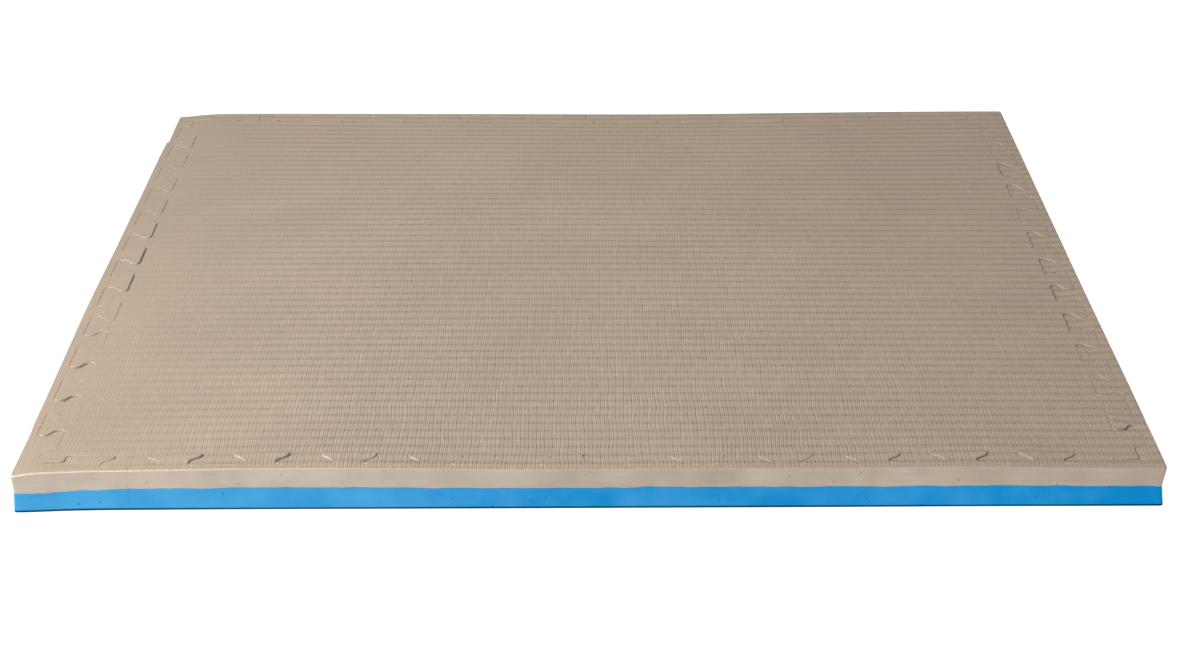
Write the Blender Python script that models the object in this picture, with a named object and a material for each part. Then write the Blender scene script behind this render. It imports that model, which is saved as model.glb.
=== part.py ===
"""Puzzle mat: a reversible two-colour foam floor tile with its jigsaw border fitted.

The mat is one square sheet of tan foam laminated on one of blue foam. A jigsaw seam parts it into a
tile with tongues on all four sides and a border, which is four straight strips and four L-shaped
corners. Units are metres, +Z is up, and the mat lies on z = 0 with its middle over the origin.
"""

import math

import bmesh
import bpy
from mathutils import Vector

# The sheets
MAT_SIDE = 1.000
TOP_SHEET = 0.0190
BASE_SHEET = 0.0187
BOND_GAP = 0.0003

# The cut outer wall: widest at its top lip, drawn in at the bond and a little less at its foot
WALL_PINCH = 0.0022
FOOT_INSET = 0.0014
LIP_ROUND = 0.0016
FOOT_ROUND = 0.0014
UPRIGHT_ROUND = 0.0030

# The jigsaw seam between the tile and its border
BORDER_WEB = 0.0080
TONGUE_REACH = 0.0120
TONGUE_SWING = 0.0052
TONGUE_ROUND = 0.0054
CORNER_LEG = 0.0230
STEP_ROUND = 0.0035
TILE_CORNER_ROUND = 0.0015
SEAM_GAP = 0.0003
TONGUES_PER_SIDE = 12

# Half teeth from a side's first flank to the border's joint there, and as many from its last
HALF_TEETH_TO_JOINT = 1.5

# How coarsely rounds are drawn, how far cutting bodies reach past what they cut, and how near
# each other two points of a mesh are one
TURN_PER_POINT = math.radians(37)
WALL_SEGMENTS = 2
OVERRUN = 0.0100
SAME_POINT = 0.000001

# Sizes that follow from those above
HALF_SIDE = MAT_SIDE / 2
BOND_TOP = BASE_SHEET + BOND_GAP
MAT_TOP = BOND_TOP + TOP_SHEET
SEAM_MIDDLE = BORDER_WEB + TONGUE_REACH
FIRST_FLANK = SEAM_MIDDLE + CORNER_LEG
LAST_FLANK = MAT_SIDE - FIRST_FLANK
HALF_TEETH = 2 * TONGUES_PER_SIDE
HALF_TOOTH = (LAST_FLANK - FIRST_FLANK) / HALF_TEETH
NEAR_JOINT = FIRST_FLANK + HALF_TEETH_TO_JOINT * HALF_TOOTH
FAR_JOINT = MAT_SIDE - NEAR_JOINT

# Half widths of the sheets' sharp edges, before the lip and the foot are rounded
LIP_EDGE = HALF_SIDE + WALL_PINCH * LIP_ROUND / (TOP_SHEET - LIP_ROUND)
BOND_EDGE = HALF_SIDE - WALL_PINCH
FOOT_EDGE = HALF_SIDE - FOOT_INSET + (WALL_PINCH - FOOT_INSET) * FOOT_ROUND / (BASE_SHEET - FOOT_ROUND)

SIDES = ("front", "right", "back", "left")
CORNERS = ("front_right", "back_right", "back_left", "front_left")


def clear_scene():
    for item in list(bpy.data.objects):
        bpy.data.objects.remove(item, do_unlink=True)


def new_collection(name):
    collection = bpy.data.collections.new(name)
    bpy.context.scene.collection.children.link(collection)
    return collection


def foam_material(name, colour, roughness):
    material = bpy.data.materials.new(name)
    material.use_nodes = True
    shader = material.node_tree.nodes["Principled BSDF"]
    shader.inputs["Base Color"].default_value = colour
    shader.inputs["Roughness"].default_value = roughness
    shader.inputs["Metallic"].default_value = 0.0
    return material


# An outline is first written as sharp corners with straight lines between them, each corner a
# (point, round). On one side of the mat, s runs along the side and t runs in from the outer wall.

def on_sheet(side, s, t):
    """Turn a side's own s and t into the sheet's X and Y. The sides follow anticlockwise."""
    x, y = s - HALF_SIDE, t - HALF_SIDE
    for _ in range(side):
        x, y = -y, x
    return Vector((x, y))


def flank_corner():
    """How far a flank's two sharp corners lie past its middle, and their round.

    A flank is two arcs joined by a slanting line. Each arc touches the line that its tongue ends
    on and swings out to the tongue's widest point. The largest round is the one with which the
    two arcs just meet.
    """
    largest = TONGUE_SWING + TONGUE_REACH - math.sqrt(2 * TONGUE_SWING * TONGUE_REACH)
    radius = min(TONGUE_ROUND, largest)
    across, along = TONGUE_REACH - radius, TONGUE_SWING - radius
    slant = math.atan2(across, -along) + math.asin(min(radius / math.hypot(across, along), 1))
    return -TONGUE_REACH / math.tan(slant), radius


def tooth_line(side, half_tooth):
    """Where a half tooth ends: near the wall on a tile tongue, far from it on a border tongue."""
    is_tile_tongue = (half_tooth + side) % 2 == 1
    return BORDER_WEB if is_tile_tongue else SEAM_MIDDLE + TONGUE_REACH


def first_step(side):
    """From the tile's corner to the first half tooth's line."""
    step_round = min(STEP_ROUND, TONGUE_REACH / 2)
    return [
        (on_sheet(side, SEAM_MIDDLE, SEAM_MIDDLE), TILE_CORNER_ROUND),
        (on_sheet(side, FIRST_FLANK, SEAM_MIDDLE), step_round),
        (on_sheet(side, FIRST_FLANK, tooth_line(side, 0)), step_round),
    ]


def last_step(side):
    """From the last half tooth's line back to the seam's middle."""
    step_round = min(STEP_ROUND, TONGUE_REACH / 2)
    return [
        (on_sheet(side, LAST_FLANK, tooth_line(side, HALF_TEETH - 1)), step_round),
        (on_sheet(side, LAST_FLANK, SEAM_MIDDLE), step_round),
    ]


def flanks(side, start, end):
    """The corners of every flank that lies between two places on a side."""
    overhang, radius = flank_corner()
    corners = []
    for number in range(1, HALF_TEETH):
        place = FIRST_FLANK + number * HALF_TOOTH
        if start < place < end:
            corners.append((on_sheet(side, place + overhang, tooth_line(side, number - 1)), radius))
            corners.append((on_sheet(side, place - overhang, tooth_line(side, number)), radius))
    return corners


def joint_on_seam(side, place):
    half_tooth = int((place - FIRST_FLANK) // HALF_TOOTH)
    return on_sheet(side, place, tooth_line(side, half_tooth)), 0


def beyond_wall(side, place):
    return on_sheet(side, place, -OVERRUN), 0


def tile_region():
    corners = []
    for side in range(len(SIDES)):
        corners += first_step(side) + flanks(side, FIRST_FLANK, LAST_FLANK) + last_step(side)
    return corners


def strip_region(side):
    """The border along a side, from one joint to the other."""
    seam = flanks(side, NEAR_JOINT, FAR_JOINT)
    return [
        beyond_wall(side, NEAR_JOINT),
        beyond_wall(side, FAR_JOINT),
        joint_on_seam(side, FAR_JOINT),
        *reversed(seam),
        joint_on_seam(side, NEAR_JOINT),
    ]


def corner_region(side):
    """The border round the corner between a side and the next."""
    after = (side + 1) % len(SIDES)
    seam = flanks(side, FAR_JOINT, LAST_FLANK) + last_step(side)
    seam += first_step(after) + flanks(after, FIRST_FLANK, NEAR_JOINT)
    return [
        beyond_wall(side, FAR_JOINT),
        beyond_wall(after, -OVERRUN),
        beyond_wall(after, NEAR_JOINT),
        joint_on_seam(after, NEAR_JOINT),
        *reversed(seam),
        joint_on_seam(side, FAR_JOINT),
    ]


def drawn_in(corners, inset):
    """The points of an anticlockwise outline with its rounds, drawn in all round by inset.

    A round is drawn by lines that touch its arc, so that the outlines on both sides of a seam
    stay parallel all the way.
    """
    points = []
    for number, (corner, radius) in enumerate(corners):
        before = (corner - corners[number - 1][0]).normalized()
        after = (corners[(number + 1) % len(corners)][0] - corner).normalized()
        turn = math.atan2(before.x * after.y - before.y * after.x, before.dot(after))
        bend = math.copysign(1, turn)
        out = Vector((before.y, -before.x)) * bend
        centre = corner - before * radius * math.tan(abs(turn) / 2) - out * radius
        steps = max(1, round(abs(turn) / TURN_PER_POINT)) if radius > 0 else 1
        reach = (radius - inset * bend) / math.cos(turn / steps / 2)
        for step in range(steps):
            angle = math.atan2(out.y, out.x) + turn * (step + 0.5) / steps
            points.append(centre + reach * Vector((math.cos(angle), math.sin(angle))))
    return points


def prism(name, points, low, high, collection):
    """A closed mesh object with a flat outline, from a filled 2D curve extruded both ways."""
    curve = bpy.data.curves.new(name, "CURVE")
    curve.dimensions = "2D"
    curve.fill_mode = "BOTH"
    curve.extrude = (high - low) / 2
    spline = curve.splines.new("POLY")
    spline.points.add(len(points) - 1)
    for spot, point in zip(spline.points, points):
        spot.co = (point.x, point.y, 0, 1)
    spline.use_cyclic_u = True
    drawing = bpy.data.objects.new(name + "_outline", curve)
    drawing.location.z = (low + high) / 2
    collection.objects.link(drawing)
    bpy.context.view_layer.update()

    seen = drawing.evaluated_get(bpy.context.evaluated_depsgraph_get())
    mesh = bpy.data.meshes.new_from_object(seen)
    mesh.name = name
    shape = bmesh.new()
    shape.from_mesh(mesh)
    bmesh.ops.remove_doubles(shape, verts=shape.verts, dist=SAME_POINT)
    bmesh.ops.recalc_face_normals(shape, faces=shape.faces)
    shape.to_mesh(mesh)
    shape.free()

    solid = bpy.data.objects.new(name, mesh)
    solid.matrix_world = drawing.matrix_world.copy()
    collection.objects.link(solid)
    bpy.data.objects.remove(drawing, do_unlink=True)
    bpy.data.curves.remove(curve)
    return solid


def sheet_blank(name, foot, head, rim_at, rim_round, cutters):
    """One foam sheet before it is cut up: a block with leaning walls and a rounded rim.

    foot and head are the (half width, height) of its lower and upper edges.
    """
    shape = bmesh.new()
    bmesh.ops.create_cube(shape, size=1)
    for vert in shape.verts:
        half, height = head if vert.co.z > 0 else foot
        vert.co = (math.copysign(half, vert.co.x), math.copysign(half, vert.co.y), height)

    def round_off(edges, radius):
        bmesh.ops.bevel(shape, geom=edges, offset=radius, offset_type="OFFSET",
                        segments=WALL_SEGMENTS, affect="EDGES", profile=0.5, material=-1)

    middle = (foot[1] + head[1]) / 2
    uprights = [edge for edge in shape.edges
                if (edge.verts[0].co.z > middle) != (edge.verts[1].co.z > middle)]
    round_off(uprights, UPRIGHT_ROUND)
    rim = [edge for edge in shape.edges
           if all(abs(vert.co.z - rim_at) < SAME_POINT for vert in edge.verts)]
    round_off(rim, rim_round)

    mesh = bpy.data.meshes.new(name)
    shape.to_mesh(mesh)
    shape.free()
    blank = bpy.data.objects.new(name, mesh)
    blank.hide_render = True
    blank.display_type = "WIRE"
    cutters.objects.link(blank)
    return blank


def keep_inside(solid, blank):
    """Leave only what a prism shares with a sheet's blank."""
    cut = solid.modifiers.new("Sheet", "BOOLEAN")
    cut.operation = "INTERSECT"
    cut.object = blank
    cut.solver = "EXACT"


def lifting_axis(name, points, collection):
    """An empty at the middle of a border piece, on the line along which it lifts out."""
    across = [point.x for point in points]
    along = [point.y for point in points]
    axis = bpy.data.objects.new(name + "_lift", None)
    axis.location = ((min(across) + max(across)) / 2, (min(along) + max(along)) / 2, 0)
    collection.objects.link(axis)
    bpy.context.view_layer.update()
    return axis


def carry(solid, axis):
    """Parent a piece to its lifting axis and leave it where it is."""
    solid.data.transform(axis.matrix_world.inverted() @ solid.matrix_world)
    solid.matrix_world.identity()
    solid.parent = axis


def main():
    clear_scene()
    mat = new_collection("puzzle_mat")
    cutters = new_collection("cutters")

    # Each sheet's lower and upper level, its foam and its blank
    tan_foam = foam_material("tan_foam", (0.440, 0.342, 0.258, 1.0), 0.72)
    blue_foam = foam_material("blue_foam", (0.018, 0.300, 0.640, 1.0), 0.68)
    top_blank = sheet_blank("top_blank", (BOND_EDGE, BOND_TOP), (LIP_EDGE, MAT_TOP), MAT_TOP,
                            LIP_ROUND, cutters)
    base_blank = sheet_blank("base_blank", (FOOT_EDGE, 0), (BOND_EDGE, BASE_SHEET), 0,
                             FOOT_ROUND, cutters)
    sheets = {
        "top": (BOND_TOP, MAT_TOP, tan_foam, top_blank),
        "base": (0, BASE_SHEET, blue_foam, base_blank),
    }

    tile_points = drawn_in(tile_region(), SEAM_GAP / 2)
    for sheet, (low, high, foam, _) in sheets.items():
        tile = prism("tile_" + sheet, tile_points, low, high, mat)
        tile.data.materials.append(foam)

    border = {}
    for side in range(len(SIDES)):
        border[SIDES[side] + "_strip"] = strip_region(side)
        border[CORNERS[side] + "_corner"] = corner_region(side)
    for name, region in border.items():
        points = drawn_in(region, SEAM_GAP / 2)
        axis = lifting_axis(name, points, mat)
        for sheet, (low, high, foam, blank) in sheets.items():
            piece = prism(name + "_" + sheet, points, low - OVERRUN, high + OVERRUN, mat)
            piece.data.materials.append(foam)
            carry(piece, axis)
            keep_inside(piece, blank)


main()
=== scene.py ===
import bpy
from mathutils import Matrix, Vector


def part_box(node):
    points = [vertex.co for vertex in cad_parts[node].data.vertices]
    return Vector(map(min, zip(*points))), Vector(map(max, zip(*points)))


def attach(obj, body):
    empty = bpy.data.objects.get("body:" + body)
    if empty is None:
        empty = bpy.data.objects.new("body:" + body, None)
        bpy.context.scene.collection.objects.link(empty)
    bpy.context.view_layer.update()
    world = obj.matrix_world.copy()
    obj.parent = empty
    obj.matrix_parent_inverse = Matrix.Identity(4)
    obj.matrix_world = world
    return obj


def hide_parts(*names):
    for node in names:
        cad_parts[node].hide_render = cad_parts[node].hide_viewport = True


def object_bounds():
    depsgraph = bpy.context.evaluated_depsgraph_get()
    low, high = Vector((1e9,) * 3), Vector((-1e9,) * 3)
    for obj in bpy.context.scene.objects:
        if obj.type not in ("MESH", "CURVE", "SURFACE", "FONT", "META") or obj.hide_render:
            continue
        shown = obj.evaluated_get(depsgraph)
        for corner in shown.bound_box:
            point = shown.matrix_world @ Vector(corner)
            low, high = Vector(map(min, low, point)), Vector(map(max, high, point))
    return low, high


bl_info = {
    "name": "Reversible Foam Floor Mat",
    "version": (1, 0, 0),
    "blender": (4, 5, 0),
    "location": "3D View > Sidebar > Floor Mat",
    "description": "Foam sheets of a two-colour interlocking floor mat, with their embossed straw skin",
    "category": "Object",
}

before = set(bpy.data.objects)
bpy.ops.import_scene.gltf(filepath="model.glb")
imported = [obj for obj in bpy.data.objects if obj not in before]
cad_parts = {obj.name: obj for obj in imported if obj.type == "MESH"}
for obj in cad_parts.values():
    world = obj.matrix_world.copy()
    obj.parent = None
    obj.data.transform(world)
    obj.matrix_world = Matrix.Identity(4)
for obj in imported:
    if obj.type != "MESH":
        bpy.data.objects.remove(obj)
CAD_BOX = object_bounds()

import math

import bmesh
import bpy
from mathutils import Matrix, Vector, noise

# The jigsaw outline in metres: the solids' own, but with finer gaps, and with each tongue's flank bent
# into an S that has round corners at head and neck and crosses between the necks at a share of its reach
MAT_SIDE = round(CAD_BOX[1].x - CAD_BOX[0].x, 4)
HALF_SIDE = MAT_SIDE / 2
BORDER_WEB = 0.0080
TONGUE_REACH = 0.0120
TONGUE_SWING = 0.0052
HEAD_ROUND = 0.0040
NECK_ROUND = 0.0052
NECK_SHARE = 0.27
CORNER_LEG = 0.0230
STEP_ROUND = 0.0035
TILE_CORNER_ROUND = 0.0015
MAT_CORNER_ROUND = 0.0030
SEAM_GAP = 0.0001
BOND_GAP = 0.00005
TONGUES_PER_SIDE = 12
HALF_TEETH_TO_JOINT = 1.5
SEAM_MIDDLE = BORDER_WEB + TONGUE_REACH
FIRST_FLANK = SEAM_MIDDLE + CORNER_LEG
LAST_FLANK = MAT_SIDE - FIRST_FLANK
HALF_TEETH = 2 * TONGUES_PER_SIDE
HALF_TOOTH = (LAST_FLANK - FIRST_FLANK) / HALF_TEETH
NEAR_JOINT = FIRST_FLANK + HALF_TEETH_TO_JOINT * HALF_TOOTH
FAR_JOINT = MAT_SIDE - NEAR_JOINT

# The two sheets' faces, read from the solids
FLOOR_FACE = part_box("tile_base")[0].z
BOND_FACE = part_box("tile_top")[0].z
MAT_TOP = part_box("tile_top")[1].z

SIDES = ("front", "right", "back", "left")
CORNERS = ("front_right", "back_right", "back_left", "front_left")
SHEETS = {"tan": "top", "blue": "base"}

# How far the embossed rows drift towards the front, by where they lie: along the row as a skew,
# a bow and a wave; then their shift to the back, the bend of the rearmost ones, and the steps in which
# straightening a point settles
ROW_DRIFT = {
    "front": (-0.0029, 0.0029, 0.0017),
    "middle": (0.0035, 0.0071, 0.0017),
    "back": (0.0000, -0.0070, 0.0017),
}
ROW_SHIFT = 0.0083
ROW_BEND = 0.09
BEND_START = 0.1
STRAIGHTENING_STEPS = 5

# Share of a row's pitch, from its crest towards the front, over which the embossing falls, and the
# places across a row where it turns and is cut
ROW_FALL_SHARE = 0.56
ROW_CUT_SHARES = (0, 0.15, 0.30, 0.44, 0.62, 0.81)

# Where the edges of the mat stand off their flat height, along each side from its first corner:
# middle, rise, spread. SWELL_REACH is how far in from the side they last.
SWELLS = {
    "lip": {
        "front": ((0.00, -0.0022, 0.012), (0.26, 0.0031, 0.16), (0.62, 0.0014, 0.12), (0.82, 0.0017, 0.09)),
        "right": ((0.50, 0.0003, 0.30),),
        "back": ((0.10, 0.0008, 0.15), (0.42, -0.0011, 0.14), (0.92, 0.0014, 0.20), (1.00, -0.0036, 0.030)),
        "left": ((0.50, 0.0005, 0.30),),
    },
    "bond": {
        "front": ((0.00, -0.0020, 0.05), (0.23, 0.0021, 0.18), (0.60, 0.0013, 0.12), (0.83, 0.0010, 0.10)),
        "right": (),
        "back": ((0.60, 0.0008, 0.22),),
        "left": (),
    },
    "foot": {
        "front": ((0.20, 0.0002, 0.10), (0.84, 0.0002, 0.08)),
        "right": (),
        "back": (),
        "left": (),
    },
}
SWELL_REACH = 0.15

# Where the border's tongues stand above the tile, or below it, as shares of their rise along each
# side: middle, share, spread
SEATS = {
    "front": ((0.18, 1.0, 0.17), (0.88, 0.9, 0.14), (0.50, -0.5, 0.10),
              (0.02, -1.2, 0.06), (1.00, -1.0, 0.05)),
    "right": ((0.03, -0.7, 0.02), (0.085, 0.9, 0.035), (0.41, -1.2, 0.18), (0.76, -1.1, 0.07)),
    "back": ((0.50, 0.2, 0.50),),
    "left": ((0.08, 0.2, 0.08), (0.48, 0.9, 0.13), (0.82, -1.1, 0.13)),
}

# How far an outer wall stands in from its flat place, or out where negative, along each side of a
# piece: middle, depth, spread
WALL_BOWS = {
    "front_left_corner": {"front": ((0.0, -0.0040, 0.042),), "left": ((0.93, 0.0004, 0.04),)},
    "back_left_corner": {"left": ((0.11, 0.0012, 0.05),)},
    "left_strip": {"left": ((0.62, -0.0012, 0.12), (0.45, -0.0010, 0.35), (0.15, -0.0010, 0.08))},
    "right_strip": {"right": ((0.15, -0.0012, 0.20), (0.80, -0.0006, 0.30))},
    "front_right_corner": {"right": ((0.05, -0.0012, 0.10),)},
    "back_right_corner": {"right": ((0.90, -0.0006, 0.20),)},
}

# How much of the walls' lean each side has
PINCH_SHARES = {"front": 1.0, "right": 1.3, "back": 1.0, "left": 0.5}

# How finely the rounded edges are cut, and when two heights count as the same
CORNER_SEGMENTS = 6
LIP_SEGMENTS = 4
SEAM_SEGMENTS = 3
SAME_PLACE = 1e-7
SETBACK_DIGITS = 7

# Up-and-down parts of a face's normal below which it is a wall beside a rim, not skin, cut foam or a
# rounded rim, and the angle from which an edge is sharp
WALL_STEEPNESS = 0.2
SKIN_STEEPNESS = 0.1
CUT_STEEPNESS = 0.3
RIM_STEEPNESS = 0.9
SHARP_ANGLE = math.radians(50)


def linear(code):
    """Turns an sRGB hex colour into the linear numbers that a colour socket takes."""
    values = [int(code[place:place + 2], 16) / 255 for place in (1, 3, 5)]
    return [value / 12.92 if value <= 0.04045 else ((value + 0.055) / 1.055) ** 2.4 for value in values]


def length(name, description, default, **limits):
    """Declares one size of the mat for the sidebar."""
    return bpy.props.FloatProperty(
        name=name, description=description, default=default, subtype="DISTANCE", unit="LENGTH",
        precision=5, **limits)


def colour(name, description, code):
    """Declares one colour of the mat for the sidebar."""
    return bpy.props.FloatVectorProperty(
        name=name, description=description, default=linear(code), subtype="COLOR", size=3, min=0, max=1)


class MatSizes(bpy.types.PropertyGroup):
    lip_round: length("Lip rounding", "Radius of the upper outer edge", 0.0016, min=0.0005)
    foot_round: length("Foot rounding", "Radius of the lower outer edge", 0.0014, min=0.0005)
    seam_round: length(
        "Seam rounding", "Radius of the skin's edge along the jigsaw cuts", 0.0007, min=0.0001)
    wall_pinch: length("Wall pinch", "How far the cut walls draw in at the bond", 0.0022)
    foot_inset: length("Foot inset", "How far the cut walls draw in at the floor", 0.0006)
    tongue_rise: length("Tongue rise", "Rise of a border tongue whose share is one", 0.0021)
    tongue_change: length("Tongue change", "How unevenly the border's tongues stand", 0.0008)
    bond_wave: length("Bond wave", "Rise and fall of the line between the two colours", 0.0010)
    row_pitch: length("Row pitch", "Width of one row of straw", 0.0166, min=0.005)
    row_relief: length("Row relief", "Depth from a row's crest to its valley", 0.0014)
    straw_pitch: length("Straw pitch", "Width of one straw across the row", 0.00179, min=0.0005)
    slice_pitch: length(
        "Slice pitch", "Spacing of the cuts that let a sheet follow its waves", 0.0125, min=0.004)
    wall_pitch: length(
        "Wall pitch", "Spacing of the cuts that let the outer wall follow the bond", 0.0042, min=0.002)


class MatColours(bpy.types.PropertyGroup):
    tan_skin: colour("Tan skin", "Embossed upper skin", "#a69481")
    tan_cut: colour("Tan cut face", "Die-cut edge of the tan sheet", "#a69889")
    # The paler left end of the cut face is painted sheen of the light at the left
    tan_faded: colour("Tan cut face, left", "Paler left end of the tan sheet's cut edge", "#b3a698")
    blue_skin: colour("Blue skin", "Embossed underside", "#2f8fce")
    blue_cut: colour("Blue cut face", "Die-cut edge of the blue sheet", "#0a7fbd")
    # The paler left end of the cut face is painted sheen of the light at the left
    blue_faded: colour("Blue cut face, left", "Paler left end of the blue sheet's cut edge", "#3f8fc0")
    floor: colour("Floor", "Plain studio floor, which also glows", "#a4a4a4")


class StudioSettings(bpy.types.PropertyGroup):
    lens: bpy.props.FloatProperty(
        name="Lens", description="Focal length", default=78.1, min=10, unit="CAMERA")
    sky: bpy.props.FloatProperty(
        name="Room light", description="Strength of the even light from all around", default=0.425, min=0)
    key: bpy.props.FloatProperty(
        name="Key light", description="Power of the soft light at the left", default=60.5,
        unit="POWER", min=0)
    front: bpy.props.FloatProperty(
        name="Front light", description="Power of the soft light in front", default=52, unit="POWER", min=0)
    floor_glow: bpy.props.FloatProperty(
        name="Floor glow", description="Light that the floor gives off by itself", default=0.88, min=0)


def add(tree, kind, inputs=(), **settings):
    """Adds one node to a tree, with its settings, and links or fills its inputs."""
    node = tree.nodes.new(kind)
    for name, value in settings.items():
        setattr(node, name, value)
    for socket, value in dict(inputs).items():
        if isinstance(value, bpy.types.NodeSocket):
            tree.links.new(value, node.inputs[socket])
        else:
            node.inputs[socket].default_value = value
    return node.outputs[0]


def on_sheet(side, s, t):
    """A point s along a side of the mat and t in from its outer edge."""
    x, y = s - HALF_SIDE, t - HALF_SIDE
    for _ in range(side):
        x, y = -y, x
    return Vector((x, y))


def tooth_line(side, half_tooth):
    """How far in from the outer edge the cut runs along one half tooth."""
    is_tile_tongue = (half_tooth + side) % 2 == 1
    return BORDER_WEB if is_tile_tongue else SEAM_MIDDLE + TONGUE_REACH


def first_step(side):
    """The cut from the tile's corner to the first half tooth of a side."""
    return [(on_sheet(side, SEAM_MIDDLE, SEAM_MIDDLE), TILE_CORNER_ROUND),
            (on_sheet(side, FIRST_FLANK, SEAM_MIDDLE), STEP_ROUND),
            (on_sheet(side, FIRST_FLANK, tooth_line(side, 0)), STEP_ROUND)]


def last_step(side):
    """The cut from the last half tooth of a side back to the corner's line."""
    return [(on_sheet(side, LAST_FLANK, tooth_line(side, HALF_TEETH - 1)), STEP_ROUND),
            (on_sheet(side, LAST_FLANK, SEAM_MIDDLE), STEP_ROUND)]


def flanks(side, start, end):
    """The S-shaped flanks of the tongues between two places along a side, from head to neck to head."""
    corners = []
    for number in range(1, HALF_TEETH):
        place = FIRST_FLANK + number * HALF_TOOTH
        if start < place < end:
            for swing, head in ((TONGUE_SWING, number - 1), (-TONGUE_SWING, number)):
                line = tooth_line(side, head)
                neck = SEAM_MIDDLE + NECK_SHARE * (line - SEAM_MIDDLE)
                turns = [(on_sheet(side, place + swing, line), HEAD_ROUND),
                         (on_sheet(side, place + swing, neck), NECK_ROUND)]
                corners += turns if swing > 0 else reversed(turns)
    return corners


def wall(side, place):
    """A corner of a border piece on the mat's outer face, which the seam's gap then draws in."""
    return on_sheet(side, place, -SEAM_GAP / 2), 0


def joint_on_seam(side, place):
    """The inner end of the straight joint between two border pieces."""
    return on_sheet(side, place, tooth_line(side, int((place - FIRST_FLANK) // HALF_TOOTH))), 0


def tile_region():
    """Corners and radii of the tile's outline."""
    corners = []
    for side in range(4):
        corners += first_step(side) + flanks(side, FIRST_FLANK, LAST_FLANK) + last_step(side)
    return corners


def strip_region(side):
    """Corners and radii of a straight border strip's outline."""
    return [wall(side, NEAR_JOINT), wall(side, FAR_JOINT), joint_on_seam(side, FAR_JOINT),
            *reversed(flanks(side, NEAR_JOINT, FAR_JOINT)), joint_on_seam(side, NEAR_JOINT)]


def corner_region(side):
    """Corners and radii of the border corner at the far end of a side."""
    after = (side + 1) % 4
    seam = (flanks(side, FAR_JOINT, LAST_FLANK) + last_step(side)
            + first_step(after) + flanks(after, FIRST_FLANK, NEAR_JOINT))
    outer = on_sheet(after, -SEAM_GAP / 2, -SEAM_GAP / 2), MAT_CORNER_ROUND
    return [wall(side, FAR_JOINT), outer, wall(after, NEAR_JOINT), joint_on_seam(after, NEAR_JOINT),
            *reversed(seam), joint_on_seam(side, FAR_JOINT)]


def row_drift(x, y):
    """How far the embossed rows lie to the back of straight ones."""
    u, v = x / HALF_SIDE, y / HALF_SIDE
    front, middle, back = (ROW_DRIFT[place] for place in ("front", "middle", "back"))
    skew, bow, wave = (m + (b - f) / 2 * v + ((b + f) / 2 - m) * v * v
                       for f, m, b in zip(front, middle, back))
    forwards = skew * u + bow * u * u + wave * math.sin(math.pi * u) + ROW_BEND * max(y - BEND_START, 0) ** 2
    return ROW_SHIFT - forwards


def straightened(point):
    """Moves a point of the sheet to where it would lie if its rows were straight."""
    y = point.y
    for _ in range(STRAIGHTENING_STEPS):
        y = point.y - row_drift(point.x, y)
    return Vector((point.x, y, point.z))


def row_height(y, sizes):
    """Height of the embossing, from 0 in a valley to 1 on a crest, across straightened rows."""
    phase = -y / sizes.row_pitch % 1
    if phase < ROW_FALL_SHARE:
        turn = phase / ROW_FALL_SHARE
    else:
        turn = 1 + (phase - ROW_FALL_SHARE) / (1 - ROW_FALL_SHARE)
    return 0.5 + 0.5 * math.cos(math.pi * turn)


def bumps(s, shapes):
    """Sum of a side's soft bumps at a place along it."""
    return sum(rise * math.exp(-((s - middle) / spread) ** 2) for middle, rise, spread in shapes)


def along_sides(x, y):
    """Each side's name, with how far a point lies along it and in from it."""
    return [("front", HALF_SIDE + x, HALF_SIDE + y), ("right", HALF_SIDE + y, HALF_SIDE - x),
            ("back", HALF_SIDE - x, HALF_SIDE - y), ("left", HALF_SIDE - y, HALF_SIDE + x)]


def lift(x, y, level):
    """How far the lip, the bond or the foot of the mat stands above its flat height."""
    return sum(bumps(s, SWELLS[level][name]) * math.exp(-(t / SWELL_REACH) ** 2)
               for name, s, t in along_sides(x, y))


def slice_faces(sheet, faces, axis, places):
    """Cuts faces at every place along an axis, halving them each time so that each cut meets few."""
    if not places or not faces:
        return
    middle = len(places) // 2
    normal = Vector((axis == 0, axis == 1, 0))
    edges = {edge for face in faces for edge in face.edges}
    verts = {vert for face in faces for vert in face.verts}
    cut = bmesh.ops.bisect_plane(
        sheet, geom=list(faces) + list(edges | verts), dist=SAME_PLACE,
        plane_co=normal * places[middle], plane_no=normal)
    found = [item for item in cut["geom"] if isinstance(item, bmesh.types.BMFace)]
    below = [face for face in found if face.calc_center_median()[axis] < places[middle]]
    above = [face for face in found if face.calc_center_median()[axis] >= places[middle]]
    slice_faces(sheet, below, axis, places[:middle])
    slice_faces(sheet, above, axis, places[middle + 1:])


def plan_face(sheet, region):
    """Makes the flat outline of a piece: its corners, rounded, and drawn in by half the seam's gap."""
    ring = [sheet.verts.new((*point, 0)) for point, _ in region]
    sheet.faces.new(ring)
    rounded = {}
    for number, (vert, (_, radius)) in enumerate(zip(ring, region)):
        if radius:
            before = vert.co - ring[number - 1].co
            after = ring[(number + 1) % len(ring)].co - vert.co
            setback = radius * math.tan(before.angle(after) / 2)
            rounded.setdefault(round(setback, SETBACK_DIGITS), []).append(vert)
    for setback, verts in rounded.items():
        bmesh.ops.bevel(sheet, geom=verts, offset=setback, offset_type="OFFSET",
                        segments=CORNER_SEGMENTS, profile=0.5, affect="VERTICES", material=-1)
    rim = bmesh.ops.inset_region(sheet, faces=sheet.faces[:], thickness=SEAM_GAP / 2, use_even_offset=True,
                                 use_boundary=True)
    bmesh.ops.delete(sheet, geom=rim["faces"], context="FACES")


def is_outer(edge):
    """Whether an edge lies along the mat's outer wall."""
    middle = (edge.verts[0].co + edge.verts[1].co) / 2
    return max(abs(middle.x), abs(middle.y)) > HALF_SIDE - MAT_CORNER_ROUND / 2


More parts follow.
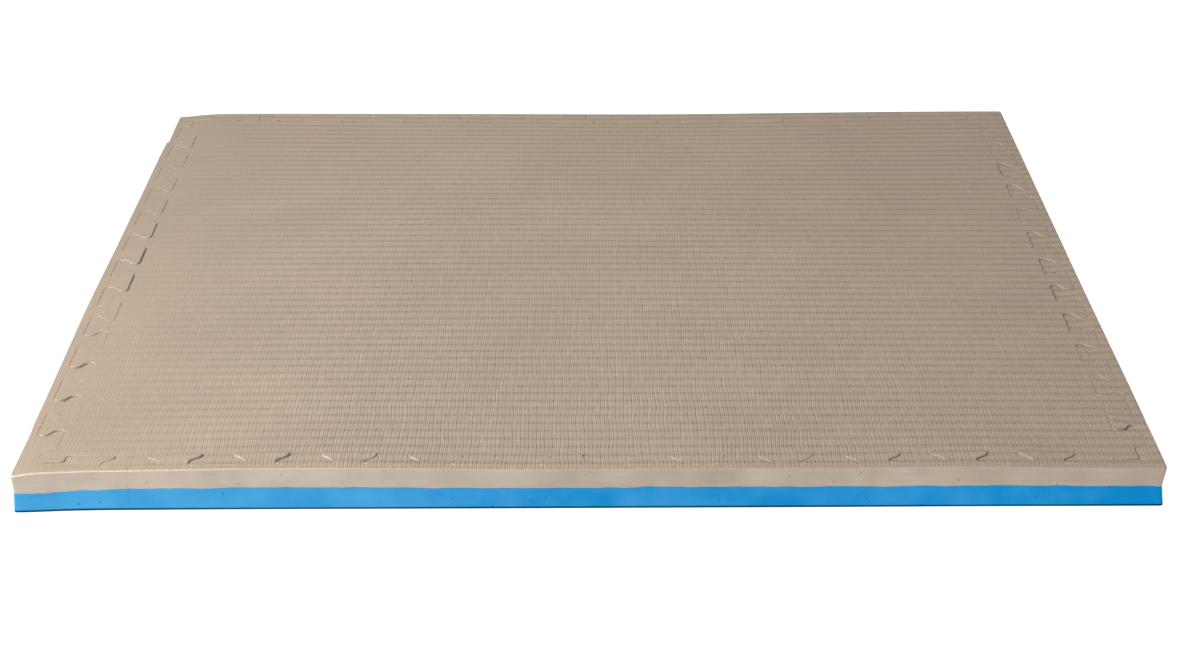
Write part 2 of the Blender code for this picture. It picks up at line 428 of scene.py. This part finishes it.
def round_rim(sheet, level, is_chosen, radius, segments):
    """Rounds the chosen edges between a face at one level and the walls below or above it."""
    rim = [edge for edge in sheet.edges
           if all(abs(vert.co.z - level) < SAME_PLACE for vert in edge.verts)
           and any(abs(face.normal.z) < WALL_STEEPNESS for face in edge.link_faces) and is_chosen(edge)]
    if rim:
        bmesh.ops.bevel(sheet, geom=rim, offset=radius, offset_type="OFFSET", segments=segments, profile=0.5,
                        affect="EDGES", material=-1)


def foam_sheet(name, region, tint, sizes):
    """Builds one foam sheet: outline, thickness, rounded rims, cuts along and across its rows, waves."""
    is_tan = tint == "tan"
    face_level, bond_level = (MAT_TOP, BOND_FACE) if is_tan else (FLOOR_FACE, BOND_FACE - BOND_GAP)
    sheet = bmesh.new()
    plan_face(sheet, region)
    bmesh.ops.translate(sheet, verts=sheet.verts[:], vec=(0, 0, bond_level))
    grown = bmesh.ops.extrude_face_region(sheet, geom=sheet.faces[:])
    moved = [item for item in grown["geom"] if isinstance(item, bmesh.types.BMVert)]
    bmesh.ops.translate(sheet, verts=moved, vec=(0, 0, face_level - bond_level))
    bmesh.ops.recalc_face_normals(sheet, faces=sheet.faces[:])
    lip_round = sizes.lip_round if is_tan else sizes.foot_round
    round_rim(sheet, face_level, is_outer, lip_round, LIP_SEGMENTS)
    round_rim(sheet, face_level, lambda edge: not is_outer(edge), sizes.seam_round, SEAM_SEGMENTS)
    count = math.ceil(HALF_SIDE / sizes.wall_pitch)
    for axis in (0, 1):
        outer = [face for face in sheet.faces
                 if abs(face.calc_center_median()[1 - axis]) > HALF_SIDE - lip_round]
        slice_faces(sheet, outer, axis, [number * sizes.wall_pitch for number in range(-count, count)])
    for vert in sheet.verts:
        vert.co = straightened(vert.co)
    cut_to_rows(sheet, sizes)
    weave = sheet.verts.layers.float_vector.new("weave")
    for vert in sheet.verts:
        vert[weave] = vert.co
        vert.co = settled(vert.co, name, is_tan, lip_round, sizes)
    return finish_sheet(sheet, name, is_tan)


def cut_to_rows(sheet, sizes):
    """Slices a sheet across its rows, and along them wherever the embossing turns."""
    low = [min(vert.co[axis] for vert in sheet.verts) for axis in (0, 1)]
    high = [max(vert.co[axis] for vert in sheet.verts) for axis in (0, 1)]
    count = math.ceil(HALF_SIDE / sizes.slice_pitch)
    across = [number * sizes.slice_pitch for number in range(-count, count + 1)]
    slice_faces(sheet, sheet.faces[:], 0, [place for place in across if low[0] < place < high[0]])
    rows = math.ceil(HALF_SIDE / sizes.row_pitch) + 1
    along = [(row + turn) * sizes.row_pitch for row in range(-rows, rows) for turn in ROW_CUT_SHARES]
    sheet.normal_update()
    skin = [face for face in sheet.faces if abs(face.normal.z) > SKIN_STEEPNESS
            and abs(face.calc_center_median().z - BOND_FACE) > sizes.foot_round]
    slice_faces(sheet, skin, 1, [place for place in along if low[1] < place < high[1]])


# Depth from an outer wall that its lean and its bows reach, and how far from the bond its wave
# reaches, with the spans of that wave and their shares
WALL_ZONE = 0.007
WAVE_DEPTH = 0.005
WAVE_SPANS = ((0.060, 0.8), (0.023, 0.8), (0.009, 0.4))

# How deep the rounded edges of the skin reach; where its embossing is flatter, towards the left side
# and just behind the lips, and deeper, towards the back; and the span of the tongues' chance heights
SKIN_DEPTH = 0.003
FLATTER_REACH = 0.30
LEFT_RELIEF_SHARE = 0.05
BACK_RELIEF_GAIN = 0.15
LIP_REACH = 0.004
RISE_SPAN = 0.035

# How much of its rise a tongue has along its reach, which runs from -1 at its root to 1 at its head
# and is held between none and all; and what a low one loses of it at the head
SEAT_AT_MIDDLE = 1.6
SEAT_GROWTH = 2
LOW_HEAD_LOSS = 0.4


def edge_share(distance):
    """1 on an outer wall, fading to 0 just short of the seam."""
    return min(max(1 - distance / WALL_ZONE, 0), 1)


def settled(point, name, is_tan, lip_round, sizes):
    """Where a point of a straightened, flat sheet lies on the real mat."""
    x, y, z = point.x, point.y + row_drift(point.x, point.y), point.z
    sides = along_sides(x, y)
    shares = {side: edge_share(t) for side, _, t in sides}
    if is_tan:
        lean = sizes.wall_pinch * max(MAT_TOP - lip_round - z, 0) / (MAT_TOP - lip_round - BOND_FACE)
        depth = MAT_TOP - z
    else:
        lean = sizes.foot_inset + (
            (sizes.wall_pinch - sizes.foot_inset) * (z - FLOOR_FACE) / (BOND_FACE - FLOOR_FACE))
        depth = z - FLOOR_FACE
    relief = sizes.row_relief * (1 - row_height(point.y, sizes)) * pressed(x, y) * (depth < SKIN_DEPTH)
    if is_tan and name != "tan_tile" and depth < SKIN_DEPTH:
        z += seat(x, y, sizes)
    at_bond = max(1 - abs(z - BOND_FACE) / WAVE_DEPTH, 0)
    wave = sum(noise.noise(Vector((x, y, 0)) / span) * share for span, share in WAVE_SPANS)
    foot, bond, lip = (lift(x, y, level) for level in ("foot", "bond", "lip"))
    if z > BOND_FACE:
        rise = bond + (lip - bond) * (z - BOND_FACE) / (MAT_TOP - BOND_FACE)
    else:
        rise = foot + (bond - foot) * z / BOND_FACE
    z += rise + sizes.bond_wave * wave * at_bond * max(shares.values()) + (-relief if is_tan else relief)
    bows = WALL_BOWS.get(name.split("_", 1)[1], {})
    inset = {side: shares[side] * (lean * PINCH_SHARES[side] + bumps(s, bows.get(side, ())))
             for side, s, _ in sides}
    return Vector((x + inset["left"] - inset["right"], y + inset["front"] - inset["back"], z))


def seat(x, y, sizes):
    """How far a border tongue stands off the tile: most along its length, not at all near the outer wall."""
    sides = along_sides(x, y)
    nearest = min(t for _, _, t in sides)
    nearness = {side: max(1 - (t - nearest) / TONGUE_REACH, 0) for side, _, t in sides}
    share = sum(nearness[side] * bumps(s, SEATS[side]) for side, s, _ in sides) / sum(nearness.values())
    reach = (nearest - SEAM_MIDDLE) / TONGUE_REACH
    inland = min(max(SEAT_AT_MIDDLE + SEAT_GROWTH * reach, 0), 1)
    if share < 0:
        inland *= 1 - LOW_HEAD_LOSS * max(reach, 0)
    chance = noise.noise(Vector((x, y, 0)) / RISE_SPAN)
    return inland * (sizes.tongue_rise * share + sizes.tongue_change * chance)


def pressed(x, y):
    """How much of the embossing is left: less towards the front and the left, and none on the lips."""
    left = min(max((x + HALF_SIDE) / FLATTER_REACH, 0), 1)
    lip = min(min(t for _, _, t in along_sides(x, y)) / LIP_REACH, 1)
    share = LEFT_RELIEF_SHARE + (1 - LEFT_RELIEF_SHARE) * left * left * (3 - 2 * left)
    return share * max(lip, 0) * (1 + BACK_RELIEF_GAIN * y / HALF_SIDE)


def finish_sheet(sheet, name, is_tan):
    """Turns the built sheet into an object with its skin and its cut faces."""
    outwards = 1 if is_tan else -1
    sheet.normal_update()
    for face in sheet.faces:
        face.smooth = True
        steepness = face.normal.z * outwards
        face.material_index = 1 if steepness < CUT_STEEPNESS else 2 if steepness < RIM_STEEPNESS else 0
    for edge in sheet.edges:
        edge.smooth = edge.calc_face_angle(0) < SHARP_ANGLE
    mesh = bpy.data.meshes.new(name)
    sheet.to_mesh(mesh)
    sheet.free()
    piece = bpy.data.objects.new(name, mesh)
    bpy.context.collection.objects.link(piece)
    shading = piece.modifiers.new("Even shading", "WEIGHTED_NORMAL")
    shading.keep_sharp = True
    return piece


def lay_sheets(context, place, region, body):
    """Makes the tan and the blue sheet of one foam piece and puts them in the frame."""
    sizes, colours = context.scene.mat_sizes, context.scene.mat_colours
    for tint, sheet_name in SHEETS.items():
        piece = foam_sheet(f"{tint}_{place}", region, tint, sizes)
        skin = getattr(colours, f"{tint}_skin")
        piece.data.materials.append(straw_skin(tint, skin, sizes))
        piece.data.materials.append(
            cut_foam(tint, getattr(colours, f"{tint}_cut"), getattr(colours, f"{tint}_faded")))
        piece.data.materials.append(pressed_rim(tint, skin))
        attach(piece, body)
        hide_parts(f"{place}_{sheet_name}")


# Blender's noise mostly keeps between these two, and bump heights are given in millimetres
NOISE_LOW, NOISE_HIGH = 0.3, 0.7
MILLIMETRE = 0.001

# The skin's straws: how far and over what span they wander sideways, the part of a row where they tuck
# under the next, how crisp they are towards each side, and the seed that sets pairs apart from straws
WANDER_SPAN = 0.06
STRAW_WANDER = 0.006
TUCK_SHIFT_SHARE = 0.19
FRONT_CRISPNESS, BACK_CRISPNESS = 1.5, 0.4
LEFT_CRISPNESS, RIGHT_CRISPNESS = 0.3, 0.55
SOFTER_FROM = 0.1
PAIR_SEED = 7.0

# The skin's tones, as shares of its colour, with painted shade and some dirt in ticks and tucks, and the
# luck from which a straw is pale; the spans of its patches and its grain in metres; and the depths of its
# relief in millimetres
SKIN_PATCH_SPAN = 0.12
SKIN_PATCH_CHANGE = 0.04
TICK_SHADE_AND_DIRT = 0.28
TUCK_SHADE_AND_DIRT = 0.10
PALE_STRAW_FROM = 0.7
PALE_STRAW_GAIN = 0.09
RIB_DEPTHS = (0.14, 0.13, 0.08)
TICK_DEPTH = 0.2
SKIN_GRAIN_SPAN = 0.0015
SKIN_GRAIN_DEPTH = 0.08


def straw_skin(tint, shade, sizes):
    """Moulded EVA skin embossed as woven straw: satin, ribbed across each row and ticked where rows meet."""
    name = f"Embossed EVA skin, {tint}"
    if name in bpy.data.materials:
        return bpy.data.materials[name]
    material = bpy.data.materials.new(name)
    material.use_nodes = True
    tree = material.node_tree
    shader = tree.nodes["Principled BSDF"]
    weave = add(tree, "ShaderNodeAttribute", attribute_name="weave")
    weave = weave.node.outputs["Vector"]
    axes = add(tree, "ShaderNodeSeparateXYZ", {0: weave}).node.outputs
    drift = add(tree, "ShaderNodeTexNoise", {"Vector": weave, "Scale": 1 / WANDER_SPAN, "Detail": 1.0})
    along = add(tree, "ShaderNodeMath", {0: drift, 1: STRAW_WANDER, 2: axes["X"]},
                operation="MULTIPLY_ADD")
    row = add(tree, "ShaderNodeMath", {0: axes["Y"], 1: -1 / sizes.row_pitch}, operation="MULTIPLY")
    # Straws: a rounded rib each, with a deeper groove after every second and fourth
    ribs = []
    for straws in (1, 2, 4):
        turn = add(tree, "ShaderNodeMath", {0: along, 1: math.pi / straws / sizes.straw_pitch},
                   operation="MULTIPLY")
        swing = add(tree, "ShaderNodeMath", {0: turn}, operation="SINE")
        ribs.append(add(tree, "ShaderNodeMath", {0: swing}, operation="ABSOLUTE"))
    # The steep back of each row's crest, where the straws tuck under the next row
    tuck_turn = add(tree, "ShaderNodeMath", {0: row, 1: TUCK_SHIFT_SHARE}, operation="ADD")
    tuck_angle = add(tree, "ShaderNodeMath", {0: tuck_turn, 1: 2 * math.pi}, operation="MULTIPLY")
    tuck_wave = add(tree, "ShaderNodeMath", {0: tuck_angle}, operation="COSINE")
    tuck_part = add(tree, "ShaderNodeMath", {0: tuck_wave, 1: 0.5, 2: 0.5}, operation="MULTIPLY_ADD")
    tuck = add(tree, "ShaderNodeMath", {0: tuck_part, 1: 2}, operation="POWER")
    # The rows are fainter towards the left, and the straws crisper towards the front, softer at the right
    faint = add(tree, "ShaderNodeMapRange", {"Value": axes["X"], "From Min": -HALF_SIDE,
                                             "From Max": FLATTER_REACH - HALF_SIDE,
                                             "To Min": LEFT_RELIEF_SHARE})
    tuck = add(tree, "ShaderNodeMath", {0: tuck, 1: faint}, operation="MULTIPLY")
    nearer = add(tree, "ShaderNodeMapRange", {"Value": axes["Y"], "From Min": -HALF_SIDE,
                                              "From Max": HALF_SIDE, "To Min": FRONT_CRISPNESS,
                                              "To Max": BACK_CRISPNESS})
    crisp_share = add(tree, "ShaderNodeMath", {0: faint, 1: 1 - LEFT_CRISPNESS, 2: LEFT_CRISPNESS},
                      operation="MULTIPLY_ADD")
    crisp = add(tree, "ShaderNodeMath", {0: nearer, 1: crisp_share}, operation="MULTIPLY")
    softer = add(tree, "ShaderNodeMapRange", {"Value": axes["X"], "From Min": SOFTER_FROM,
                                              "From Max": HALF_SIDE, "To Min": 1.0,
                                              "To Max": RIGHT_CRISPNESS})
    crisp = add(tree, "ShaderNodeMath", {0: crisp, 1: softer}, operation="MULTIPLY")
    # Each straw has its own tone within a row, and each pair its own depth of tick
    row_number = add(tree, "ShaderNodeMath", {0: tuck_turn}, operation="ROUND")
    straw = add(tree, "ShaderNodeMath", {0: along, 1: 1 / sizes.straw_pitch}, operation="MULTIPLY")
    straw_number = add(tree, "ShaderNodeMath", {0: straw}, operation="FLOOR")
    straw_cell = add(tree, "ShaderNodeCombineXYZ", {0: straw_number, 1: row_number})
    straw_luck = add(tree, "ShaderNodeTexWhiteNoise", {"Vector": straw_cell}, noise_dimensions="2D")
    pair = add(tree, "ShaderNodeMath", {0: straw, 1: 0.5}, operation="MULTIPLY")
    pair_number = add(tree, "ShaderNodeMath", {0: pair}, operation="ROUND")
    cell = add(tree, "ShaderNodeCombineXYZ", {0: pair_number, 1: row_number, 2: PAIR_SEED})
    luck = add(tree, "ShaderNodeTexWhiteNoise", {"Vector": cell}, noise_dimensions="3D")
    gap = add(tree, "ShaderNodeMath", {0: 1.0, 1: ribs[1]}, operation="SUBTRACT")
    tick = add(tree, "ShaderNodeMath", {0: gap, 1: tuck}, operation="MULTIPLY")
    tick = add(tree, "ShaderNodeMath", {0: tick, 1: luck}, operation="MULTIPLY")
    # Colour: the base shade, darker in the tucks and ticks with painted shade and some dirt, with single
    # pale straws and large patches
    patches = add(tree, "ShaderNodeTexNoise", {"Vector": weave, "Scale": 1 / SKIN_PATCH_SPAN, "Detail": 3.0})
    patch = add(tree, "ShaderNodeMapRange", {"Value": patches, "From Min": NOISE_LOW, "From Max": NOISE_HIGH,
                                             "To Min": 1 - SKIN_PATCH_CHANGE,
                                             "To Max": 1 + SKIN_PATCH_CHANGE})
    groove = add(tree, "ShaderNodeMath", {0: tick, 1: -TICK_SHADE_AND_DIRT, 2: patch}, operation="MULTIPLY_ADD")
    band = add(tree, "ShaderNodeMath", {0: tuck, 1: -TUCK_SHADE_AND_DIRT, 2: groove}, operation="MULTIPLY_ADD")
    pale = add(tree, "ShaderNodeMapRange", {"Value": straw_luck, "From Min": PALE_STRAW_FROM,
                                            "To Max": PALE_STRAW_GAIN})
    rib_tone = add(tree, "ShaderNodeMath", {0: pale, 1: crisp, 2: band}, operation="MULTIPLY_ADD")
    tone = add(tree, "ShaderNodeVectorMath", {0: tuple(shade), "Scale": rib_tone}, operation="SCALE")
    tree.links.new(tone, shader.inputs["Base Color"])
    # Relief in millimetres: straws, ticks and a fine pebble grain, drawn at 1.5 mm so that it shows
    grain = add(tree, "ShaderNodeTexNoise", {"Vector": weave, "Scale": 1 / SKIN_GRAIN_SPAN, "Detail": 2.0})
    relief = 0
    for rib, depth in zip(ribs, RIB_DEPTHS):
        relief = add(tree, "ShaderNodeMath", {0: rib, 1: depth, 2: relief}, operation="MULTIPLY_ADD")
    relief = add(tree, "ShaderNodeMath", {0: relief, 1: crisp}, operation="MULTIPLY")
    relief = add(tree, "ShaderNodeMath", {0: tick, 1: -TICK_DEPTH, 2: relief}, operation="MULTIPLY_ADD")
    relief = add(tree, "ShaderNodeMath", {0: grain, 1: SKIN_GRAIN_DEPTH, 2: relief},
                 operation="MULTIPLY_ADD")
    bump = add(tree, "ShaderNodeBump", {"Height": relief, "Strength": 1.0, "Distance": MILLIMETRE})
    tree.links.new(bump, shader.inputs["Normal"])
    gloss = add(tree, "ShaderNodeMapRange", {"Value": grain, "To Min": 0.50, "To Max": 0.66})
    tree.links.new(gloss, shader.inputs["Roughness"])
    return material


# The painted contact shadow just above the floor: the height where it is darkest, where it ends, and what it
# leaves of the colour on the rim and on the cut face
CONTACT_SHADOW_LOW, CONTACT_SHADOW_TOP = 0.0018, 0.0030
RIM_CONTACT_SHADOW_SHARE = 0.08
CUT_CONTACT_SHADOW_SHARE = 0.12

# The rims' painted highlight: how far behind the mat's front the front rim's part of it starts and is whole,
# how much brighter than the skin every rim is painted, and how much more so towards the front left corner
FRONT_RIM_START, FRONT_RIM_WHOLE = 0.002, 0.001
RIM_HIGHLIGHT_GAIN = 1.1
FRONT_LEFT_HIGHLIGHT_GAIN = 0.35


def pressed_rim(tint, shade):
    """The skin's rounded edge, pressed smooth by the cutting die: glossier, painted paler as a highlight,
    more so at the front left, and painted dark with the floor's contact shadow where it meets the floor."""
    name = f"Pressed EVA edge, {tint}"
    if name in bpy.data.materials:
        return bpy.data.materials[name]
    material = bpy.data.materials.new(name)
    material.use_nodes = True
    tree = material.node_tree
    shader = tree.nodes["Principled BSDF"]
    spot = add(tree, "ShaderNodeSeparateXYZ", {0: add(tree, "ShaderNodeTexCoord").node.outputs["Object"]})
    front = add(tree, "ShaderNodeMapRange", {"Value": spot.node.outputs["Y"],
                                             "From Min": FRONT_RIM_START - HALF_SIDE,
                                             "From Max": FRONT_RIM_WHOLE - HALF_SIDE})
    left = add(tree, "ShaderNodeMapRange", {"Value": spot, "From Min": 0.0, "From Max": -HALF_SIDE,
                                            "To Min": 0.0, "To Max": FRONT_LEFT_HIGHLIGHT_GAIN})
    # Painted highlight: every rim a little paler, the front rim more so towards the left
    change = add(tree, "ShaderNodeMath", {0: front, 1: left, 2: RIM_HIGHLIGHT_GAIN}, operation="MULTIPLY_ADD")
    # Painted contact shadow of the floor along the foot
    contact_shadow = add(tree, "ShaderNodeMapRange", {"Value": spot.node.outputs["Z"], "From Min": CONTACT_SHADOW_LOW,
                                             "From Max": CONTACT_SHADOW_TOP, "To Min": RIM_CONTACT_SHADOW_SHARE,
                                             "To Max": 1.0})
    change = add(tree, "ShaderNodeMath", {0: change, 1: contact_shadow}, operation="MULTIPLY")
    tone = add(tree, "ShaderNodeVectorMath", {0: tuple(shade), "Scale": change}, operation="SCALE")
    tree.links.new(tone, shader.inputs["Base Color"])
    shader.inputs["Roughness"].default_value = 0.32
    shader.inputs["Specular IOR Level"].default_value = 1.0 if tint == "tan" else 0.2
    return material


# The cut face: how much finer its knife streaks are upwards than along, the spans of streaks, patches
# and grain, and how much streaks and patches change the colour
STREAK_SQUASH = 12.0
STREAK_SPAN = 0.03
STREAK_CHANGE = 0.03
CUT_PATCH_SPAN = 0.04
CUT_PATCH_CHANGE = 0.05
CUT_GRAIN_SPAN = 0.0012
CUT_GRAIN_DEPTH = 0.05

# Its open pores: their spacing, their core and edge as shares of it, and the painted shade in them and their
# depth; and its left end, painted paler as sheen of the light at the left: how far from the middle it runs,
# how much patches shift it, and what is taken off it
PORE_PITCH = 0.012
PORE_CORE_SHARE, PORE_EDGE_SHARE = 0.04, 0.07
PORE_PAINTED_SHADE = 0.5
PORE_DEPTH = 0.4
SHEEN_REACH = 0.4
SHEEN_PATCHINESS = 1.6
SHEEN_OFFSET = 0.8


def cut_foam(tint, shade, left_sheen):
    """Die-cut closed-cell EVA: matt and even, with faint knife streaks, a few open pores with painted shade,
    a paler left end painted as sheen, and a painted contact shadow at the foot.
    """
    name = f"Cut EVA foam, {tint}"
    if name in bpy.data.materials:
        return bpy.data.materials[name]
    material = bpy.data.materials.new(name)
    material.use_nodes = True
    tree = material.node_tree
    shader = tree.nodes["Principled BSDF"]
    place = add(tree, "ShaderNodeTexCoord").node.outputs["Object"]
    flattened = add(tree, "ShaderNodeVectorMath", {0: place, 1: (1.0, 1.0, STREAK_SQUASH)},
                    operation="MULTIPLY")
    streaks = add(tree, "ShaderNodeTexNoise", {"Vector": flattened, "Scale": 1 / STREAK_SPAN, "Detail": 4.0})
    patches = add(tree, "ShaderNodeTexNoise", {"Vector": place, "Scale": 1 / CUT_PATCH_SPAN, "Detail": 3.0})
    pores = add(tree, "ShaderNodeTexVoronoi", {"Vector": place, "Scale": 1 / PORE_PITCH})
    pore = add(tree, "ShaderNodeMapRange", {"Value": pores, "From Min": PORE_CORE_SHARE,
                                            "From Max": PORE_EDGE_SHARE, "To Min": 1.0, "To Max": 0.0})
    streak = add(tree, "ShaderNodeMapRange", {"Value": streaks, "From Min": NOISE_LOW,
                                              "From Max": NOISE_HIGH, "To Min": 1 - STREAK_CHANGE,
                                              "To Max": 1 + STREAK_CHANGE})
    patch = add(tree, "ShaderNodeMapRange", {"Value": patches, "From Min": NOISE_LOW, "From Max": NOISE_HIGH,
                                             "To Min": 1 - CUT_PATCH_CHANGE,
                                             "To Max": 1 + CUT_PATCH_CHANGE})
    tone = add(tree, "ShaderNodeMath", {0: streak, 1: patch}, operation="MULTIPLY")
    # Painted shade in the open pores
    tone = add(tree, "ShaderNodeMath", {0: pore, 1: -PORE_PAINTED_SHADE, 2: tone}, operation="MULTIPLY_ADD")
    # The left end is painted paler, unevenly, as sheen of the light at the left, and the last three
    # millimetres above the floor are painted dark as the floor's contact shadow
    spot = add(tree, "ShaderNodeSeparateXYZ", {0: place}).node.outputs
    left_sheen_part = add(tree, "ShaderNodeMapRange", {"Value": spot["X"], "From Min": SHEEN_REACH,
                                                  "From Max": -SHEEN_REACH})
    left_sheen_part = add(tree, "ShaderNodeMath", {0: patches, 1: SHEEN_PATCHINESS, 2: left_sheen_part},
                     operation="MULTIPLY_ADD")
    left_sheen_part = add(tree, "ShaderNodeMath", {0: left_sheen_part, 1: SHEEN_OFFSET}, operation="SUBTRACT",
                     use_clamp=True)
    base = add(tree, "ShaderNodeMix", {0: left_sheen_part, 6: (*shade, 1), 7: (*left_sheen, 1)}, data_type="RGBA")
    base = base.node.outputs[2]
    # Painted contact shadow of the floor along the foot
    contact_shadow = add(tree, "ShaderNodeMapRange", {"Value": spot["Z"], "From Min": CONTACT_SHADOW_LOW,
                                             "From Max": CONTACT_SHADOW_TOP, "To Min": CUT_CONTACT_SHADOW_SHARE,
                                             "To Max": 1.0})
    tone = add(tree, "ShaderNodeMath", {0: tone, 1: contact_shadow}, operation="MULTIPLY")
    tinted = add(tree, "ShaderNodeVectorMath", {0: base, "Scale": tone}, operation="SCALE")
    tree.links.new(tinted, shader.inputs["Base Color"])
    grain = add(tree, "ShaderNodeTexNoise", {"Vector": place, "Scale": 1 / CUT_GRAIN_SPAN, "Detail": 2.0})
    relief = add(tree, "ShaderNodeMath", {0: grain, 1: CUT_GRAIN_DEPTH}, operation="MULTIPLY")
    relief = add(tree, "ShaderNodeMath", {0: pore, 1: -PORE_DEPTH, 2: relief}, operation="MULTIPLY_ADD")
    bump = add(tree, "ShaderNodeBump", {"Height": relief, "Strength": 1.0, "Distance": MILLIMETRE})
    tree.links.new(bump, shader.inputs["Normal"])
    shader.inputs["Roughness"].default_value = 0.8
    shader.inputs["Specular IOR Level"].default_value = 0.03
    return material


class FLOOR_MAT_OT_lay_tile(bpy.types.Operator):
    """Lay the square tile in the middle: its tan and its blue foam sheet."""
    bl_idname = "floor_mat.lay_tile"
    bl_label = "Tile"

    def execute(self, context):
        lay_sheets(context, "tile", tile_region(), "tile")
        return {"FINISHED"}


class FLOOR_MAT_OT_lay_strips(bpy.types.Operator):
    """Lay the four straight border strips."""
    bl_idname = "floor_mat.lay_strips"
    bl_label = "Border strips"

    def execute(self, context):
        for side, name in enumerate(SIDES):
            lay_sheets(context, f"{name}_strip", strip_region(side), f"{name}_strip")
        return {"FINISHED"}


class FLOOR_MAT_OT_lay_corners(bpy.types.Operator):
    """Lay the four border corners."""
    bl_idname = "floor_mat.lay_corners"
    bl_label = "Border corners"

    def execute(self, context):
        for side, name in enumerate(CORNERS):
            lay_sheets(context, f"{name}_corner", corner_region(side), f"{name}_corner")
        return {"FINISHED"}


# Where the photograph was taken from, the film's width in millimetres and the nearest and farthest
# distance that the camera sees
CAMERA_PLACE = (0.0094, -2.5300, 1.0160)
CAMERA_PITCH = math.radians(22.784)
CAMERA_YAW = math.radians(-0.029)
CAMERA_ROLL = math.radians(-0.223)
FILM_WIDTH = 36
NEAREST, FARTHEST = 0.05, 100

# Side of the square floor, and the side and places of the two soft square lamps, which face the mat
FLOOR_SIZE = 40.0
LAMP_SIZE = 0.8
LAMPS = {"key": (-1.68, -0.90, 1.70), "front": (-1.35, -4.80, 1.65)}


class FLOOR_MAT_OT_set_studio(bpy.types.Operator):
    """Set up the plain floor, the soft light and the camera."""
    bl_idname = "floor_mat.set_studio"
    bl_label = "Studio"

    def execute(self, context):
        scene, studio = context.scene, context.scene.mat_studio
        ground = bmesh.new()
        bmesh.ops.create_grid(ground, x_segments=1, y_segments=1, size=FLOOR_SIZE / 2)
        mesh = bpy.data.meshes.new("studio_floor")
        ground.to_mesh(mesh)
        ground.free()
        floor = bpy.data.objects.new("studio_floor", mesh)
        scene.collection.objects.link(floor)
        paint = bpy.data.materials.new("Matt white paint")
        paint.use_nodes = True
        shader = paint.node_tree.nodes["Principled BSDF"]
        shader.inputs["Base Color"].default_value = (*scene.mat_colours.floor, 1)
        shader.inputs["Roughness"].default_value = 0.9
        shader.inputs["Specular IOR Level"].default_value = 0.1
        shader.inputs["Emission Color"].default_value = (1, 1, 1, 1)
        shader.inputs["Emission Strength"].default_value = studio.floor_glow
        mesh.materials.append(paint)
        world = bpy.data.worlds.new("Even room light")
        world.use_nodes = True
        world.node_tree.nodes["Background"].inputs["Color"].default_value = (1, 1, 1, 1)
        world.node_tree.nodes["Background"].inputs["Strength"].default_value = studio.sky
        scene.world = world
        for name, place in LAMPS.items():
            lamp = bpy.data.lights.new(f"{name}_lamp", "AREA")
            lamp.energy = getattr(studio, name)
            lamp.size = LAMP_SIZE
            holder = bpy.data.objects.new(f"{name}_lamp", lamp)
            holder.location = place
            holder.rotation_euler = (-Vector(place)).to_track_quat("-Z", "Y").to_euler()
            scene.collection.objects.link(holder)
        eye = bpy.data.cameras.new("camera")
        eye.lens = studio.lens
        eye.sensor_width = FILM_WIDTH
        eye.clip_start = NEAREST
        eye.clip_end = FARTHEST
        camera = bpy.data.objects.new("camera", eye)
        camera.matrix_world = (
            Matrix.Translation(CAMERA_PLACE) @ Matrix.Rotation(CAMERA_YAW, 4, "Z")
            @ Matrix.Rotation(math.pi / 2 - CAMERA_PITCH, 4, "X") @ Matrix.Rotation(CAMERA_ROLL, 4, "Z"))
        scene.collection.objects.link(camera)
        scene.camera = camera
        scene.view_settings.view_transform = "Standard"
        return {"FINISHED"}


class FLOOR_MAT_PT_sidebar(bpy.types.Panel):
    """Lists the mat's pieces, sizes and colours."""
    bl_idname = "FLOOR_MAT_PT_sidebar"
    bl_label = "Floor mat"
    bl_space_type = "VIEW_3D"
    bl_region_type = "UI"
    bl_category = "Floor Mat"

    def draw(self, context):
        for operator in OPERATORS:
            self.layout.operator(operator.bl_idname)
        for group in ("mat_sizes", "mat_colours", "mat_studio"):
            settings = getattr(context.scene, group)
            box = self.layout.box()
            for name in settings.__annotations__:
                box.prop(settings, name)


OPERATORS = (
    FLOOR_MAT_OT_lay_tile, FLOOR_MAT_OT_lay_strips, FLOOR_MAT_OT_lay_corners, FLOOR_MAT_OT_set_studio)
GROUPS = {"mat_sizes": MatSizes, "mat_colours": MatColours, "mat_studio": StudioSettings}


def register():
    for kind in (*GROUPS.values(), *OPERATORS, FLOOR_MAT_PT_sidebar):
        bpy.utils.register_class(kind)
    for name, group in GROUPS.items():
        setattr(bpy.types.Scene, name, bpy.props.PointerProperty(type=group))


def unregister():
    for name in GROUPS:
        delattr(bpy.types.Scene, name)
    for kind in (FLOOR_MAT_PT_sidebar, *reversed(OPERATORS), *GROUPS.values()):
        bpy.utils.unregister_class(kind)


def main():
    """Builds the mat and its studio."""
    register()
    bpy.ops.floor_mat.set_studio()
    bpy.ops.floor_mat.lay_tile()
    bpy.ops.floor_mat.lay_strips()
    bpy.ops.floor_mat.lay_corners()


if __name__ == "__main__":
    main()
